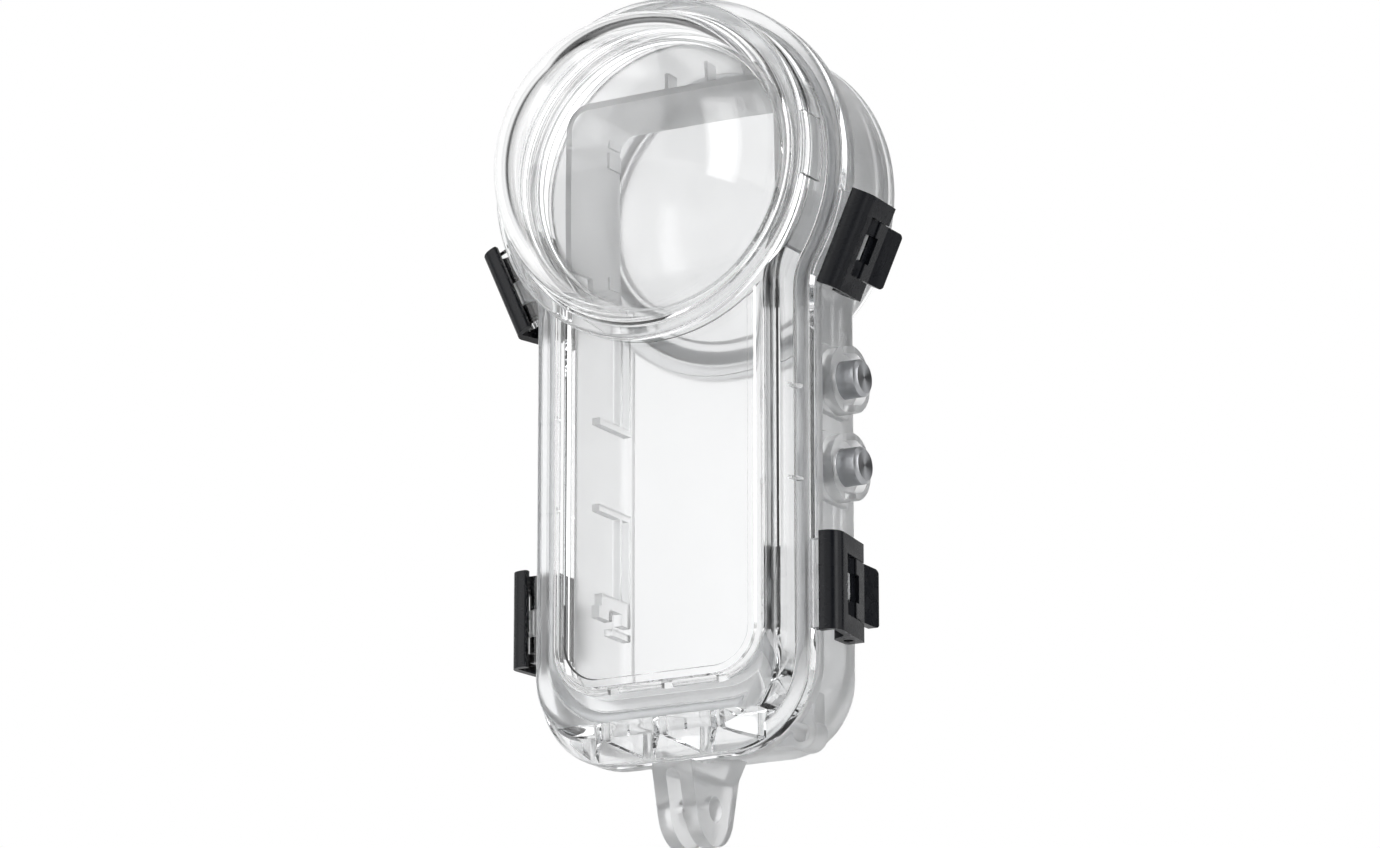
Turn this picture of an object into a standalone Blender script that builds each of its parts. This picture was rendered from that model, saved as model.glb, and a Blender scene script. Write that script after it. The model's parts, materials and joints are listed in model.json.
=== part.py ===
"""Clear dive housing for a stick-shaped two-lens action camera.

The frame: the origin is the middle of the mount's finger hole, +X is the right-hand side seen from
the front, the front window faces -Y and +Z is up. Every size is in millimetres; MM makes metres.

The front shell and the rear shell meet at a flange with a seal in it. Four draw latches hold them
together: a lever turns on a lug of the rear shell and pulls a hook over a catch on the front shell.
Each shell has a dome over one of the camera's lenses, and two sprung push buttons pass through the
right-hand wall of the rear shell.
"""

import math

import bmesh
import bpy
from mathutils import Vector

MM = 0.001
GAP = 0.3  # left between two pieces that touch

# Body outline, seen from the front: a round head on a rounded body
HEAD_Z = 128.6
HEAD_R = 35.5
BODY_HALF_W = 27.8
BODY_BOTTOM_Z = 11.9
BODY_CORNER_R = 15.0
NECK_R = 15.0
HEAD_STEPS = 13
NECK_STEPS = 4
CORNER_STEPS = 5

# Section through the shells
FACE_Y = 17.8  # the flat window faces lie at -FACE_Y and +FACE_Y
FACE_T = 3.0
WALL = 3.8
EDGE_R = 3.0
SEAM_Y = -6.0
FLANGE_OUT = 3.1
FLANGE_T = 3.0
FLANGE_CHAMFER = 0.5
CAVITY_BOTTOM_Z = 22.0
CAVITY_CORNER_R = 11.0

# Seal between the shells, in a groove of the rear shell that follows the cavity
SEAL_OFFSET = 3.4  # middle of the groove, measured from the cavity's wall
SEAL_R = 1.1
GROOVE_HALF_W = 1.3
GROOVE_DEPTH = 2.2

# Domes and what holds them
DOME_R = 32.5
DOME_T = 2.8
DOME_CENTRE_Y = 16.7
DOME_BASE_Y = 18.1
PORT_R = 28.0  # opening in each window under its dome
DRUM_R = 35.3
DRUM_DEPTH = 3.6
COLLAR_IN_R = 32.8
COLLAR_OUT_R = 35.5
COLLAR_END_Y = 20.4
DOME_SEAL_R = 31.0
DOME_SEAL_HALF = 0.55
DOME_STEPS = 6
ROUND_STEPS = 32

# Camera cradle inside the rear shell
CRADLE_X = 23.8
CRADLE_T = 1.4
CRADLE_Y = (-2.0, 9.8)
CRADLE_LOW_Z = 104.0
CRADLE_NOSE_Y = -10.3  # the upper part reaches past the seam, into the front shell
CRADLE_NOSE_LOW_Z = 112.0
CRADLE_CORNER_R = 4.0
CEILING_Z = 147.0

# Zigzag ribs under the front shell: a skirt from the window's edge to the flange, with
# triangles cut out of it from below
SKIRT_HALF_W = 21.0
SKIRT_Y = (-16.2, -9.0)
SKIRT_OFFSET = (-0.2, 2.8)  # from the body's wall, at each end
RIB_PITCH = 13.0
RIB_SHIFT = 1.5  # X of the middle triangle's tip
RIB_WEB = 1.0
RIB_Y = (-17.0, -9.6)
RIB_TOP_Z = 16.0

# Two-finger mount
FINGER_R = 7.5
FINGER_HALF_SPAN = 4.5
FINGER_GAP_HALF = 1.5
FINGER_HOLE_R = 2.6
FINGER_SLOT_TOP_Z = 7.2
ROOT_HALF_DEPTH = 9.7
ROOT_Z = 7.4
ROOT_TOP_Z = 13.0
ROOT_TOP_HALF_DEPTH = 13.0

# Lanyard eye on the rear shell's lower right corner
EYE_ANGLE = -47.0
EYE_OFFSET = 4.6
EYE_R = 3.4
EYE_WEB = 27.0  # how far along the corner, in degrees, the eye's web reaches on each side
EYE_FOOT_R = 17.0  # from the corner's middle to the web's feet, inside the flange
EYE_HOLE_R = 1.9
EYE_Y = (-4.0, 1.0)

# Latches. u is the height above the flange's edge, v is +Y and w runs along the latch
LATCH_HALF_W = 10.0
LATCH_LOWER_Z = 41.2
LATCH_UPPER_ANGLE = -24.5
LEVER_PIVOT = (-3.0, 3.2)  # v, u
HOOK_PIVOT = (1.1, 3.1)
PIN_R = 0.9
PIN_HOLE_R = 1.0
LUG_R = 2.2
LUG_HALF_W = 2.6
KNUCKLE_R = 2.0
LEVER_HALF_W = 6.0
LEVER_SLOT_HALF_W = 2.85
HOOK_CUT_HALF_W = 6.2
HOOK_CUT_V = -5.0
CATCH_HALF_W = 9.0
LEVER_PIN_HALF = 5.7
HOOK_PIN_HALF = 9.6

# Push buttons
BUTTON_Y = 5.5
BUTTON_Z = {"upper": 85.9, "lower": 67.8}
BOSS_R = 6.9
BOSS_INNER_X = 25.6
BOSS_X = 31.3
GUARD_IN_R = 5.4
GUARD_X = 34.6
NOTCH_X = 31.7  # the guard ring is open on the front side, down to here
NOTCH_BACK = 1.2  # how far in front of the button's middle the notch ends
PLATE_X = 29.2
PLATE_HALF_Y = 7.9
PLATE_HALF_Z = 7.1
PLATE_CORNER = 3.0
WELL_R = 4.0
WELL_X = 29.0
CAP_R = 3.7
CAP_X = (30.6, 35.8)
CAP_ROOF_X = 32.4  # roof of the hollow under the cap, where the spring pushes
CAP_HOLLOW_R = 3.2
STEM_R = 1.5
STEM_END_X = 24.9
STEM_BORE_R = 1.66
RING_WELL_R = 2.35
RING_WELL_X = 27.5
RING_R = 0.32
INNER_WELL_R = 3.3
INNER_WELL_X = 26.6
CLIP_X = (25.7, 26.3)
CLIP_R = 2.8
CLIP_GROOVE_R = 1.0
PAD_X = (23.6, 24.6)
PAD_R = 2.3
SPRING_R = 2.82
SPRING_WIRE_R = 0.25
SPRING_TURNS = 3
SPRING_X = (29.15, 32.25)


# ---------------------------------------------------------------- helpers


def clear_scene():
    for obj in list(bpy.data.objects):
        bpy.data.objects.remove(obj)


def make_material(name, colour, roughness, metallic=0.0, transmission=0.0):
    material = bpy.data.materials.new(name)
    material.use_nodes = True
    shader = material.node_tree.nodes["Principled BSDF"]
    shader.inputs["Base Color"].default_value = (*colour, 1.0)
    shader.inputs["Roughness"].default_value = roughness
    shader.inputs["Metallic"].default_value = metallic
    shader.inputs["Transmission Weight"].default_value = transmission
    return material


def make_object(name, points, faces, material=None, origin=(0, 0, 0)):
    """An object from points in millimetres, its faces turned outwards and its origin at `origin`."""
    shift = Vector(origin)
    mesh = bpy.data.meshes.new(name)
    mesh.from_pydata([(Vector(p) - shift) * MM for p in points], [], faces)
    work = bmesh.new()
    work.from_mesh(mesh)
    bmesh.ops.recalc_face_normals(work, faces=work.faces)
    work.to_mesh(mesh)
    work.free()
    mesh.shade_smooth()
    mesh.set_sharp_from_angle(angle=math.radians(30))
    obj = bpy.data.objects.new(name, mesh)
    obj.location = shift * MM
    if material:
        mesh.materials.append(material)
    bpy.context.scene.collection.objects.link(obj)
    return obj


def combine(target, tool, operation):
    """Adds or cuts `tool` from `target` with a Boolean, and keeps the tool out of the render."""
    tool.hide_render = True
    tool.display_type = "WIRE"
    boolean = target.modifiers.new(tool.name, "BOOLEAN")
    boolean.operation = operation
    boolean.object = tool


def arc(centre, radius, start, end, steps):
    """Points on an arc, both ends included; angles in degrees."""
    points = []
    for i in range(steps + 1):
        a = math.radians(start + (end - start) * i / steps)
        points.append((centre[0] + radius * math.cos(a), centre[1] + radius * math.sin(a)))
    return points


def loft(name, rings, material=None, closed=False):
    """A solid through rings of equal length. An open row of rings gets a cap at each end."""
    count = len(rings[0])
    points = [p for ring in rings for p in ring]
    faces = []
    for i in range(len(rings) if closed else len(rings) - 1):
        a, b = i * count, (i + 1) % len(rings) * count
        for j in range(count):
            k = (j + 1) % count
            faces.append((a + j, a + k, b + k, b + j))
    if not closed:
        faces.append(tuple(range(count)))
        faces.append(tuple(range((len(rings) - 1) * count, len(rings) * count)))
    return make_object(name, points, faces, material)


def prism(name, profile, place, low, high, material=None, origin=(0, 0, 0)):
    """A flat outline drawn out from low to high; place(a, b, c) gives the point in the frame."""
    count = len(profile)
    points = [place(a, b, c) for c in (low, high) for a, b in profile]
    faces = [tuple(range(count)), tuple(range(count, 2 * count))]
    faces += [(i, (i + 1) % count, count + (i + 1) % count, count + i) for i in range(count)]
    return make_object(name, points, faces, material, origin)


def turned(name, profile, place, steps, material=None, origin=(0, 0, 0)):
    """A closed outline of (radius, height) turned round an axis. A point at radius 0 is one point."""
    points, rows = [], []
    for radius, height in profile:
        if radius == 0:
            rows.append([len(points)] * steps)
            points.append(place(0, 0, height))
            continue
        rows.append(list(range(len(points), len(points) + steps)))
        for a, b in arc((0, 0), radius, 0, 360, steps)[:-1]:
            points.append(place(a, b, height))
    faces = []
    for i, row in enumerate(rows):
        after = rows[(i + 1) % len(rows)]
        for j in range(steps):
            k = (j + 1) % steps
            corners = dict.fromkeys((row[j], row[k], after[k], after[j]))
            if len(corners) > 2:
                faces.append(tuple(corners))
    return make_object(name, points, faces, material, origin)


def along_x(y, z):
    return lambda a, b, height: (height, y + a, z + b)


def along_y(x, z):
    return lambda a, b, height: (x + a, height, z + b)


def cylinder(name, place, radius, low, high, steps, material=None, origin=(0, 0, 0)):
    return prism(name, arc((0, 0), radius, 0, 360, steps)[:-1], place, low, high, material, origin)


def box(name, low, high):
    corners = [(low[0], low[1]), (high[0], low[1]), (high[0], high[1]), (low[0], high[1])]
    return prism(name, corners, lambda x, y, z: (x, y, z), low[2], high[2])


# ---------------------------------------------------------------- outlines


def keyhole(head_r, half_w, neck_r, bottom_z, corner_r):
    """The body's outline as (x, z): a head circle run into a rounded body by hollow neck arcs."""
    reach = half_w + neck_r
    neck_z = HEAD_Z - math.sqrt((head_r + neck_r) ** 2 - reach**2)
    turn = math.degrees(math.atan2(neck_z - HEAD_Z, reach))
    right = arc((0, HEAD_Z), head_r, 90, turn, HEAD_STEPS)
    right += arc((reach, neck_z), neck_r, 180 + turn, 180, NECK_STEPS)[1:]
    corner = (half_w - corner_r, bottom_z + corner_r)
    right += arc(corner, corner_r, 0, -90, CORNER_STEPS)
    return right + [(-x, z) for x, z in reversed(right[1:])]


def wall_outline(offset):
    return keyhole(
        HEAD_R + offset,
        BODY_HALF_W + offset,
        NECK_R - offset,
        BODY_BOTTOM_Z - offset,
        BODY_CORNER_R + offset,
    )


def cavity_outline(offset=0.0):
    return keyhole(
        HEAD_R - WALL + offset,
        BODY_HALF_W - WALL + offset,
        NECK_R + WALL - offset,
        CAVITY_BOTTOM_Z - offset,
        CAVITY_CORNER_R + offset,
    )


def at_y(outline, y):
    return [(x, y, z) for x, z in outline]


def window_rings(sign):
    """The rings round a shell's outer edge, from its wall to the flat of its window."""
    rings = []
    for depth, rise in arc((0, 0), EDGE_R, 0, 90, 3):
        y = sign * (FACE_Y - EDGE_R + rise)
        rings.append(at_y(wall_outline(depth - EDGE_R), y))
    return rings


# ---------------------------------------------------------------- shells


def port_tools(side, sign):
    """What both shells have round their dome: a drum to join, a port and a seal groove to cut."""
    place = along_y(0, HEAD_Z)
    face = sign * (FACE_Y + 0.05)
    drum = cylinder(side + "_drum", place, DRUM_R, sign * (FACE_Y - DRUM_DEPTH), face, ROUND_STEPS)
    inner = sign * (FACE_Y - DRUM_DEPTH - 0.2)
    port = cylinder(side + "_port", place, PORT_R, inner, sign * (FACE_Y + 5), ROUND_STEPS)
    seat = [
        (DOME_SEAL_R - 0.8, sign * (FACE_Y - 1.0)),
        (DOME_SEAL_R + 0.8, sign * (FACE_Y - 1.0)),
        (DOME_SEAL_R + 0.8, sign * (FACE_Y + 1.0)),
        (DOME_SEAL_R - 0.8, sign * (FACE_Y + 1.0)),
    ]
    groove = turned(side + "_dome_groove", seat, place, ROUND_STEPS)
    return drum, [port, groove]


def make_catch(name, latch):
    """The rib on the front shell that a hook holds on to."""
    profile = [(-8.7, -2.6), (-6.3, -2.6), (-6.3, 4.3), (-6.7, 4.7), (-8.2, 4.7), (-8.7, 4.2)]
    return prism(name, profile, latch.place, -CATCH_HALF_W, CATCH_HALF_W)


def make_skirt():
    """The block under the front shell's bottom that its ribs are cut from."""
    rings = [at_y(wall_outline(offset), y) for offset, y in zip(SKIRT_OFFSET, SKIRT_Y)]
    skirt = loft("skirt", rings)
    zone = box("skirt_zone", (-SKIRT_HALF_W, -20, 5), (SKIRT_HALF_W, 0, RIB_TOP_Z))
    combine(skirt, zone, "INTERSECT")
    return skirt


def rib_cutters():
    """Triangles that leave slanting ribs between them, drawn along Z."""
    half = RIB_PITCH / 2
    slope = half - RIB_WEB
    front_y, back_y = RIB_Y
    for i in range(-3, 4):
        x = RIB_SHIFT + i * half
        tip, base = (back_y, front_y) if i % 2 else (front_y, back_y)
        points = [(x - slope, base), (x + slope, base), (x, tip)]
        yield prism(f"rib_cut_{i + 3}", points, lambda a, b, c: (a, b, c), 5, RIB_TOP_Z)


def make_front_shell(material, latches):
    face_y = -(FACE_Y - FACE_T)
    seam_y = SEAM_Y - GAP / 2
    back_y = seam_y - FLANGE_T
    edge = FLANGE_OUT - FLANGE_CHAMFER
    rings = [
        at_y(cavity_outline(), face_y),
        at_y(cavity_outline(), seam_y),
        at_y(wall_outline(edge), seam_y),
        at_y(wall_outline(FLANGE_OUT), seam_y - FLANGE_CHAMFER),
        at_y(wall_outline(FLANGE_OUT), back_y + FLANGE_CHAMFER),
        at_y(wall_outline(edge), back_y),
        at_y(wall_outline(0), back_y),
    ]
    shell = loft("front_shell", rings + window_rings(-1), material)
    drum, cutters = port_tools("front", -1)
    combine(shell, drum, "UNION")
    combine(shell, make_skirt(), "UNION")
    for latch in latches:
        combine(shell, make_catch("catch_" + latch.name, latch), "UNION")
    for cutter in cutters + list(rib_cutters()):
        combine(shell, cutter, "DIFFERENCE")
    return shell


def make_lug(name, latch):
    """The ear on the rear shell that a lever turns on. It stops short of the seal's groove."""
    v, u = LEVER_PIVOT
    profile = arc((v, u), LUG_R, 0, 180, 10)
    profile += [(v - LUG_R, -1.4), (-3.1, -1.4), (-3.1, -4.6), (v + LUG_R, -4.6)]
    return prism(name, profile, latch.place, -LUG_HALF_W, LUG_HALF_W)


def make_mount():
    """The two fingers and the root that joins them to the rear shell, drawn along X."""
    to_root = math.atan2(ROOT_Z, ROOT_HALF_DEPTH)
    tangent = to_root - math.acos(FINGER_R / math.hypot(ROOT_Z, ROOT_HALF_DEPTH))
    end = math.degrees(tangent)
    profile = arc((0, 0), FINGER_R, -180 - end, end, 12)
    flange_low = BODY_BOTTOM_Z - FLANGE_OUT - GAP
    profile += [
        (ROOT_HALF_DEPTH, ROOT_Z),
        (ROOT_TOP_HALF_DEPTH, BODY_BOTTOM_Z),
        (ROOT_TOP_HALF_DEPTH, ROOT_TOP_Z),
        (-3.2, ROOT_TOP_Z),
        (-3.2, 10.3),
        (-5.0, 10.3),
        (-5.0, flange_low),
        (-ROOT_HALF_DEPTH, flange_low),
        (-ROOT_HALF_DEPTH, ROOT_Z),
    ]
    place = lambda a, b, c: (c, a, b)
    body = prism("mount_body", profile, place, -FINGER_HALF_SPAN, FINGER_HALF_SPAN)
    gap = FINGER_GAP_HALF
    slot = box("mount_slot", (-gap, -20, -20), (gap, 20, FINGER_SLOT_TOP_Z))
    hole = cylinder("mount_hole", along_x(0, 0), FINGER_HOLE_R, -10, 10, 16)
    return body, [slot, hole]


def make_boss(name, z):
    """A button's boss and base plate, and the cutters for its guard ring, well and stem."""
    place = along_x(BUTTON_Y, z)
    boss = cylinder(name, place, BOSS_R, BOSS_INNER_X, GUARD_X, 24)
    wide, tall, cut = PLATE_HALF_Y, PLATE_HALF_Z, PLATE_CORNER
    octagon = [(wide, tall - cut), (wide - cut, tall), (cut - wide, tall), (-wide, tall - cut)]
    octagon += [(-a, -b) for a, b in octagon]
    plate = prism(name + "_plate", octagon, place, BOSS_INNER_X, PLATE_X)
    notch_low = (NOTCH_X, BUTTON_Y - BOSS_R - 1, z - BOSS_R)
    outside = GUARD_X + 3
    cutters = [
        cylinder(name + "_guard", place, GUARD_IN_R, BOSS_X, outside, 24),
        cylinder(name + "_well", place, WELL_R, WELL_X, outside, 24),
        cylinder(name + "_seat", place, RING_WELL_R, RING_WELL_X, BOSS_X, 16),
        cylinder(name + "_bore", place, STEM_BORE_R, 20, BOSS_X, 16),
        cylinder(name + "_inner", place, INNER_WELL_R, 20, INNER_WELL_X, 16),
        box(name + "_notch", notch_low, (outside, BUTTON_Y - NOTCH_BACK, z + BOSS_R)),
    ]
    return [boss, plate], cutters


def make_cradle(name, low_z, low_y, high_y):
    """Two cheeks and a ceiling with rounded corners, which hold the camera's head."""
    radius = CRADLE_CORNER_R
    corner_x, corner_z = CRADLE_X - radius, CEILING_Z - radius
    outer = arc((corner_x, corner_z), radius + CRADLE_T, 0, 90, 4)
    inner = arc((corner_x, corner_z), radius, 90, 0, 4)
    right = [(CRADLE_X + CRADLE_T, low_z)] + outer
    left = [(-x, z) for x, z in reversed(right)]
    right_inner = inner + [(CRADLE_X, low_z)]
    left_inner = [(-x, z) for x, z in reversed(right_inner)]
    profile = right + left + left_inner + right_inner
    return prism(name, profile, lambda a, b, c: (a, c, b), low_y, high_y)


def make_eye():
    corner_x = BODY_HALF_W - BODY_CORNER_R
    corner_z = BODY_BOTTOM_Z + BODY_CORNER_R
    reach = BODY_CORNER_R + EYE_OFFSET
    angle = math.radians(EYE_ANGLE)
    centre = (corner_x + reach * math.cos(angle), corner_z + reach * math.sin(angle))
    outline = arc(centre, EYE_R, EYE_ANGLE - 85, EYE_ANGLE + 85, 10)
    for turn in (EYE_WEB, -EYE_WEB):
        foot = math.radians(EYE_ANGLE + turn)
        outline.append((corner_x + EYE_FOOT_R * math.cos(foot), corner_z + EYE_FOOT_R * math.sin(foot)))
    eye = prism("lanyard_eye", outline, lambda a, b, c: (a, c, b), *EYE_Y)
    hole = cylinder("lanyard_hole", along_y(*centre), EYE_HOLE_R, -20, 20, 12)
    return eye, hole


def make_rear_shell(material, latches):
    face_y = FACE_Y - FACE_T
    seam_y = SEAM_Y + GAP / 2
    back_y = seam_y + FLANGE_T
    edge = FLANGE_OUT - FLANGE_CHAMFER
    groove_in = SEAL_OFFSET - GROOVE_HALF_W
    groove_out = SEAL_OFFSET + GROOVE_HALF_W
    groove_y = seam_y + GROOVE_DEPTH
    rings = [
        at_y(cavity_outline(), face_y),
        at_y(cavity_outline(), seam_y),
        at_y(cavity_outline(groove_in), seam_y),
        at_y(cavity_outline(groove_in), groove_y),
        at_y(cavity_outline(groove_out), groove_y),
        at_y(cavity_outline(groove_out), seam_y),
        at_y(wall_outline(edge), seam_y),
        at_y(wall_outline(FLANGE_OUT), seam_y + FLANGE_CHAMFER),
        at_y(wall_outline(FLANGE_OUT), back_y - FLANGE_CHAMFER),
        at_y(wall_outline(edge), back_y),
        at_y(wall_outline(0), back_y),
    ]
    shell = loft("rear_shell", rings + window_rings(1), material)
    drum, cutters = port_tools("rear", 1)
    mount, mount_cutters = make_mount()
    eye, eye_hole = make_eye()
    cradle = make_cradle("cradle", CRADLE_LOW_Z, *CRADLE_Y)
    nose = make_cradle("cradle_nose", CRADLE_NOSE_LOW_Z, CRADLE_NOSE_Y, CRADLE_Y[0] + 1)
    additions = [drum, mount, eye, cradle, nose]
    cutters = mount_cutters + [eye_hole] + cutters
    for name, z in BUTTON_Z.items():
        bosses, boss_cutters = make_boss("boss_" + name, z)
        additions += bosses
        cutters += boss_cutters
    for latch in latches:
        additions.append(make_lug("lug_" + latch.name, latch))
        cutters.append(pin_shape("lug_hole_" + latch.name, latch, LEVER_PIVOT, PIN_HOLE_R, 5))
    for addition in additions:
        combine(shell, addition, "UNION")
    for cutter in cutters:
        combine(shell, cutter, "DIFFERENCE")
    return shell


def make_main_seal(material):
    """A round cord that follows the cavity's outline in the rear shell's groove."""
    middle_y = SEAM_Y - GAP / 2 - GAP / 3 + SEAL_R + GAP
    rings = []
    for across, along in arc((0, 0), SEAL_R, 0, 360, 6)[:-1]:
        rings.append(at_y(cavity_outline(SEAL_OFFSET + across), middle_y + along))
    return loft("main_seal", rings, material, closed=True)


# ---------------------------------------------------------------- domes


def make_dome_set(side, sign, clear, ring_material, rubber):
    place = along_y(0, HEAD_Z)
    outer, inner = [], []
    rise = DOME_BASE_Y - DOME_CENTRE_Y
    for radius, points in ((DOME_R, outer), (DOME_R - DOME_T, inner)):
        base = math.degrees(math.asin(rise / radius))
        for a, b in arc((0, 0), radius, base, 90, DOME_STEPS):
            points.append((a if a > 1e-6 else 0, sign * (DOME_CENTRE_Y + b)))
    turned(side + "_dome", outer + inner[::-1], place, ROUND_STEPS, clear)
    low, high = sign * DOME_BASE_Y, sign * COLLAR_END_Y
    collar = [
        (COLLAR_IN_R, low),
        (COLLAR_OUT_R, low),
        (COLLAR_OUT_R, sign * (COLLAR_END_Y - 0.8)),
        (COLLAR_OUT_R - 0.8, high),
        (COLLAR_IN_R, high),
    ]
    turned(side + "_dome_ring", collar, place, ROUND_STEPS, ring_material)
    seal_y = sign * (FACE_Y - 0.25)
    seal = [
        (DOME_SEAL_R + a, seal_y + b) for a, b in arc((0, 0), DOME_SEAL_HALF, 0, 360, 6)[:-1]
    ]
    turned(side + "_dome_seal", seal, place, ROUND_STEPS, rubber)


# ---------------------------------------------------------------- latches


class Latch:
    """Where one latch sits, and the way from its own u, v, w to the part's frame."""

    def __init__(self, name, side, angle, centre):
        self.name = name
        self.side = side
        turn = math.radians(angle)
        self.out = Vector((side * math.cos(turn), 0, math.sin(turn)))
        self.up = Vector((-side * math.sin(turn), 0, math.cos(turn)))
        self.centre = Vector(centre)

    def place(self, v, u, w):
        return self.centre + self.out * u + Vector((0, v, 0)) + self.up * w

    def pivot(self, point):
        return self.place(point[0], point[1], 0)


def all_latches():
    flange_x = BODY_HALF_W + FLANGE_OUT
    flange_r = HEAD_R + FLANGE_OUT
    turn = math.radians(LATCH_UPPER_ANGLE)
    latches = []
    for word, side in (("right", 1), ("left", -1)):
        upper = (side * flange_r * math.cos(turn), 0, HEAD_Z + flange_r * math.sin(turn))
        lower = (side * flange_x, 0, LATCH_LOWER_Z)
        latches.append(Latch("upper_" + word, side, LATCH_UPPER_ANGLE, upper))
        latches.append(Latch("lower_" + word, side, 0, lower))
    return latches


def pin_shape(name, latch, pivot, radius, half, material=None):
    """A round shape along a latch, for a pin or for its hole."""
    profile = arc(pivot, radius, 0, 360, 12)[:-1]
    return prism(name, profile, latch.place, -half, half, material, latch.pivot(pivot))


def make_lever(latch, material):
    name = latch.name
    profile = arc(LEVER_PIVOT, KNUCKLE_R, 75, 270, 8)
    profile += arc(HOOK_PIVOT, KNUCKLE_R, -90, -10, 4)
    profile += [(4.2, 3.3), (10.5, 3.3), (11.0, 3.8), (11.0, 4.7), (10.5, 5.1), (4.2, 5.1)]
    profile += [(-1.4, 5.9), (-1.8, 5.6)]
    half = LEVER_HALF_W
    pivot = latch.pivot(LEVER_PIVOT)
    lever = prism("latch_lever_" + name, profile, latch.place, -half, half, material, pivot)
    back = LEVER_PIVOT[0] + LUG_R + 0.35
    slot = [(-6.0, 0), (back, 0), (back, 4.6), (1.2, 4.6), (1.2, 8), (-6.0, 8)]
    width = LEVER_SLOT_HALF_W
    combine(lever, prism("lever_slot_" + name, slot, latch.place, -width, width), "DIFFERENCE")
    for label, point in (("pin", LEVER_PIVOT), ("hook", HOOK_PIVOT)):
        hole = pin_shape(f"lever_{label}_hole_{name}", latch, point, PIN_HOLE_R, 12)
        combine(lever, hole, "DIFFERENCE")
    return lever


def make_hook(latch, material):
    name = latch.name
    profile = [
        (-10.1, 2.5),
        (-10.5, 2.9),
        (-10.5, 5.3),
        (-10.2, 6.3),
        (-9.6, 6.85),
        (-8.8, 6.97),
        (4.0, 5.1),
        (4.3, 4.8),
        (4.3, 1.8),
        (3.5, 1.0),
        (-0.8, 1.0),
        (-2.0, 2.2),
        (-3.0, 4.2),
        (-4.2, 4.75),
        (-9.0, 5.3),
        (-9.0, 2.9),
        (-9.4, 2.5),
    ]
    half = LATCH_HALF_W
    pivot = latch.pivot(HOOK_PIVOT)
    hook = prism("latch_hook_" + name, profile, latch.place, -half, half, material, pivot)
    cut = [(HOOK_CUT_V, -2), (8, -2), (8, 10), (HOOK_CUT_V, 10)]
    width = HOOK_CUT_HALF_W
    combine(hook, prism("hook_cut_" + name, cut, latch.place, -width, width), "DIFFERENCE")
    hole = pin_shape("hook_hole_" + name, latch, HOOK_PIVOT, PIN_HOLE_R, 14)
    combine(hook, hole, "DIFFERENCE")
    return hook


def make_latch(latch, plastic, steel):
    lever = make_lever(latch, plastic)
    hook = make_hook(latch, plastic)
    pin_shape("lever_pin_" + latch.name, latch, LEVER_PIVOT, PIN_R, LEVER_PIN_HALF, steel)
    hook_pin = pin_shape("hook_pin_" + latch.name, latch, HOOK_PIVOT, PIN_R, HOOK_PIN_HALF, steel)
    bpy.context.view_layer.update()
    for piece in (hook, hook_pin):
        piece.parent = lever
        piece.matrix_parent_inverse = lever.matrix_world.inverted()


# ---------------------------------------------------------------- buttons


def make_button(name, z, steel, rubber):
    place = along_x(BUTTON_Y, z)
    bottom, top = CAP_X
    clip_low, clip_high = CLIP_X
    cap = [
        (0, STEM_END_X),
        (STEM_R, STEM_END_X),
        (STEM_R, clip_low - 0.1),
        (CLIP_GROOVE_R, clip_low - 0.1),
        (CLIP_GROOVE_R, clip_high + 0.1),
        (STEM_R, clip_high + 0.1),
        (STEM_R, CAP_ROOF_X),
        (CAP_HOLLOW_R, CAP_ROOF_X),
        (CAP_HOLLOW_R, bottom),
        (CAP_R, bottom),
        (CAP_R, top - 0.9),
        (CAP_R - 0.9, top),
        (0, top),
    ]
    cap_object = turned("button_cap_" + name, cap, place, 20, steel, (top, BUTTON_Y, z))
    hole = CLIP_GROOVE_R + 0.08
    clip = [(hole, clip_low), (CLIP_R, clip_low), (CLIP_R, clip_high), (hole, clip_high)]
    pieces = [turned("button_clip_" + name, clip, place, 16, steel)]
    pieces.append(cylinder("button_pad_" + name, place, PAD_R, *PAD_X, 16, rubber))
    bpy.context.view_layer.update()
    for piece in pieces:
        piece.parent = cap_object
        piece.matrix_parent_inverse = cap_object.matrix_world.inverted()
    middle = (STEM_BORE_R + RING_WELL_R) / 2
    ring_x = RING_WELL_X + RING_R + 0.2
    ring = [(middle + a, ring_x + b) for a, b in arc((0, 0), RING_R, 0, 360, 6)[:-1]]
    turned("button_seal_" + name, ring, place, 16, rubber)
    make_spring("button_spring_" + name, place, steel)


def make_spring(name, place, steel):
    """A coil of round wire as a tube with a flat end at each side."""
    steps = SPRING_TURNS * 10
    low, high = SPRING_X
    climb = high - low - 2 * SPRING_WIRE_R
    rings = []
    for i in range(steps + 1):
        turn = 2 * math.pi * SPRING_TURNS * i / steps
        middle = low + SPRING_WIRE_R + climb * i / steps
        ring = []
        for out, along in arc((0, 0), SPRING_WIRE_R, 0, 360, 4)[:-1]:
            radius = SPRING_R + out
            ring.append(place(radius * math.cos(turn), radius * math.sin(turn), middle + along))
        rings.append(ring)
    return loft(name, rings, steel)


# ---------------------------------------------------------------- the housing


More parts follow.
